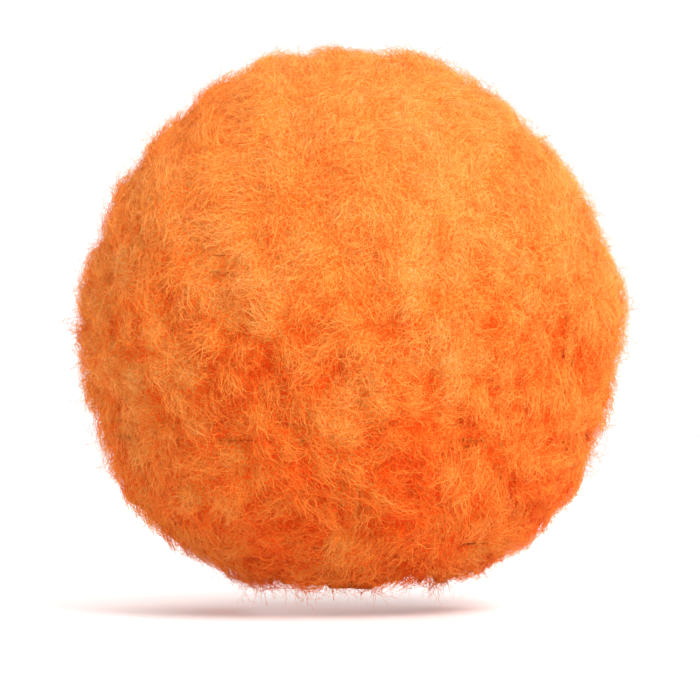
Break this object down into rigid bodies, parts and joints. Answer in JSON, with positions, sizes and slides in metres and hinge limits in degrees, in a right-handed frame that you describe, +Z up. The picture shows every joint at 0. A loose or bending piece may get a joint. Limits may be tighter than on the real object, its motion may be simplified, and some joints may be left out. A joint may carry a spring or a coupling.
{
  "type": "costume wig",
  "caption": "Big round frizzy orange wig on an open sewn cap, with a face opening, hinged ear tabs and hooked elastic adjusters at the nape.",
  "frame": {"origin": "middle of the flat underside of the crown lining, where the wig lies on the top of the head", "axes": "+Z up, -Y towards the face opening and so +Y towards the back of the head, +X towards the wearer's left"},
  "size_m": [0.394, 0.3621, 0.3889],
  "materials": {
    "hair": "matte",
    "weft_header": "matte",
    "strap_tape": "matte",
    "edge_binding": "satin",
    "elastic": "matte",
    "loop_tape": "matte",
    "crown_net": "matte",
    "lining": "matte",
    "label": "satin",
    "hook_plastic": "gloss",
    "stay_steel": "satin"
  },
  "bodies": {
    "wig": {"crown_hair": "hair", "left_upper_back_hair": "hair", "right_upper_back_hair": "hair", "left_upper_side_hair": "hair", "right_upper_side_hair": "hair", "left_upper_front_hair": "hair", "right_upper_front_hair": "hair", "left_middle_back_hair": "hair", "right_middle_back_hair": "hair", "left_middle_side_hair": "hair", "right_middle_side_hair": "hair", "left_middle_temple_hair": "hair", "right_middle_temple_hair": "hair", "left_lower_back_hair": "hair", "right_lower_back_hair": "hair", "left_lower_side_hair": "hair", "right_lower_side_hair": "hair", "left_nape_hair": "hair", "right_nape_hair": "hair", "left_back_strap": "strap_tape", "right_back_strap": "strap_tape", "left_side_back_strap": "strap_tape", "right_side_back_strap": "strap_tape", "left_side_front_strap": "strap_tape", "right_side_front_strap": "strap_tape", "left_front_strap": "strap_tape", "right_front_strap": "strap_tape", "edge_track": "weft_header", "weft_track_01": "weft_header", "weft_track_02": "weft_header", "weft_track_03": "weft_header", "weft_track_04": "weft_header", "weft_track_05": "weft_header", "weft_track_06": "weft_header", "weft_track_07": "weft_header", "weft_track_08": "weft_header", "weft_track_09": "weft_header", "weft_track_10": "weft_header", "front_band": "edge_binding", "left_side_band": "edge_binding", "right_side_band": "edge_binding", "left_adjuster_elastic": "elastic", "right_adjuster_elastic": "elastic", "nape_band": "elastic", "left_loop_tape": "loop_tape", "right_loop_tape": "loop_tape", "crown_patch": "crown_net", "crown_lining": "lining", "care_label": "label"},
    "left_ear_tab": {"left_ear_tab": "edge_binding", "left_ear_stay": "stay_steel"},
    "right_ear_tab": {"right_ear_tab": "edge_binding", "right_ear_stay": "stay_steel"},
    "left_adjuster": {"left_adjuster_hook": "hook_plastic"},
    "right_adjuster": {"right_adjuster_hook": "hook_plastic"}
  },
  "joints": [
    {"name": "left_ear_tab_fold", "type": "hinge", "parent": "wig", "child": "left_ear_tab", "pos_m": [0.0686, -0.041, -0.0938], "axis": [0.3156, 0.8034, -0.505], "range_deg": [0, 35]},
    {"name": "right_ear_tab_fold", "type": "hinge", "parent": "wig", "child": "right_ear_tab", "pos_m": [-0.0686, -0.041, -0.0938], "axis": [0.3156, -0.8034, 0.505], "range_deg": [0, 35]},
    {"name": "left_adjuster_reach", "type": "hinge", "parent": "wig", "child": "left_adjuster", "pos_m": [0, 0.031, -0.16], "axis": [0, 0, 1], "range_deg": [0, 23], "deforming": ["left_adjuster_elastic"]},
    {"name": "right_adjuster_reach", "type": "hinge", "parent": "wig", "child": "right_adjuster", "pos_m": [0, 0.031, -0.16], "axis": [0, 0, -1], "range_deg": [0, 23], "deforming": ["right_adjuster_elastic"]}
  ]
}
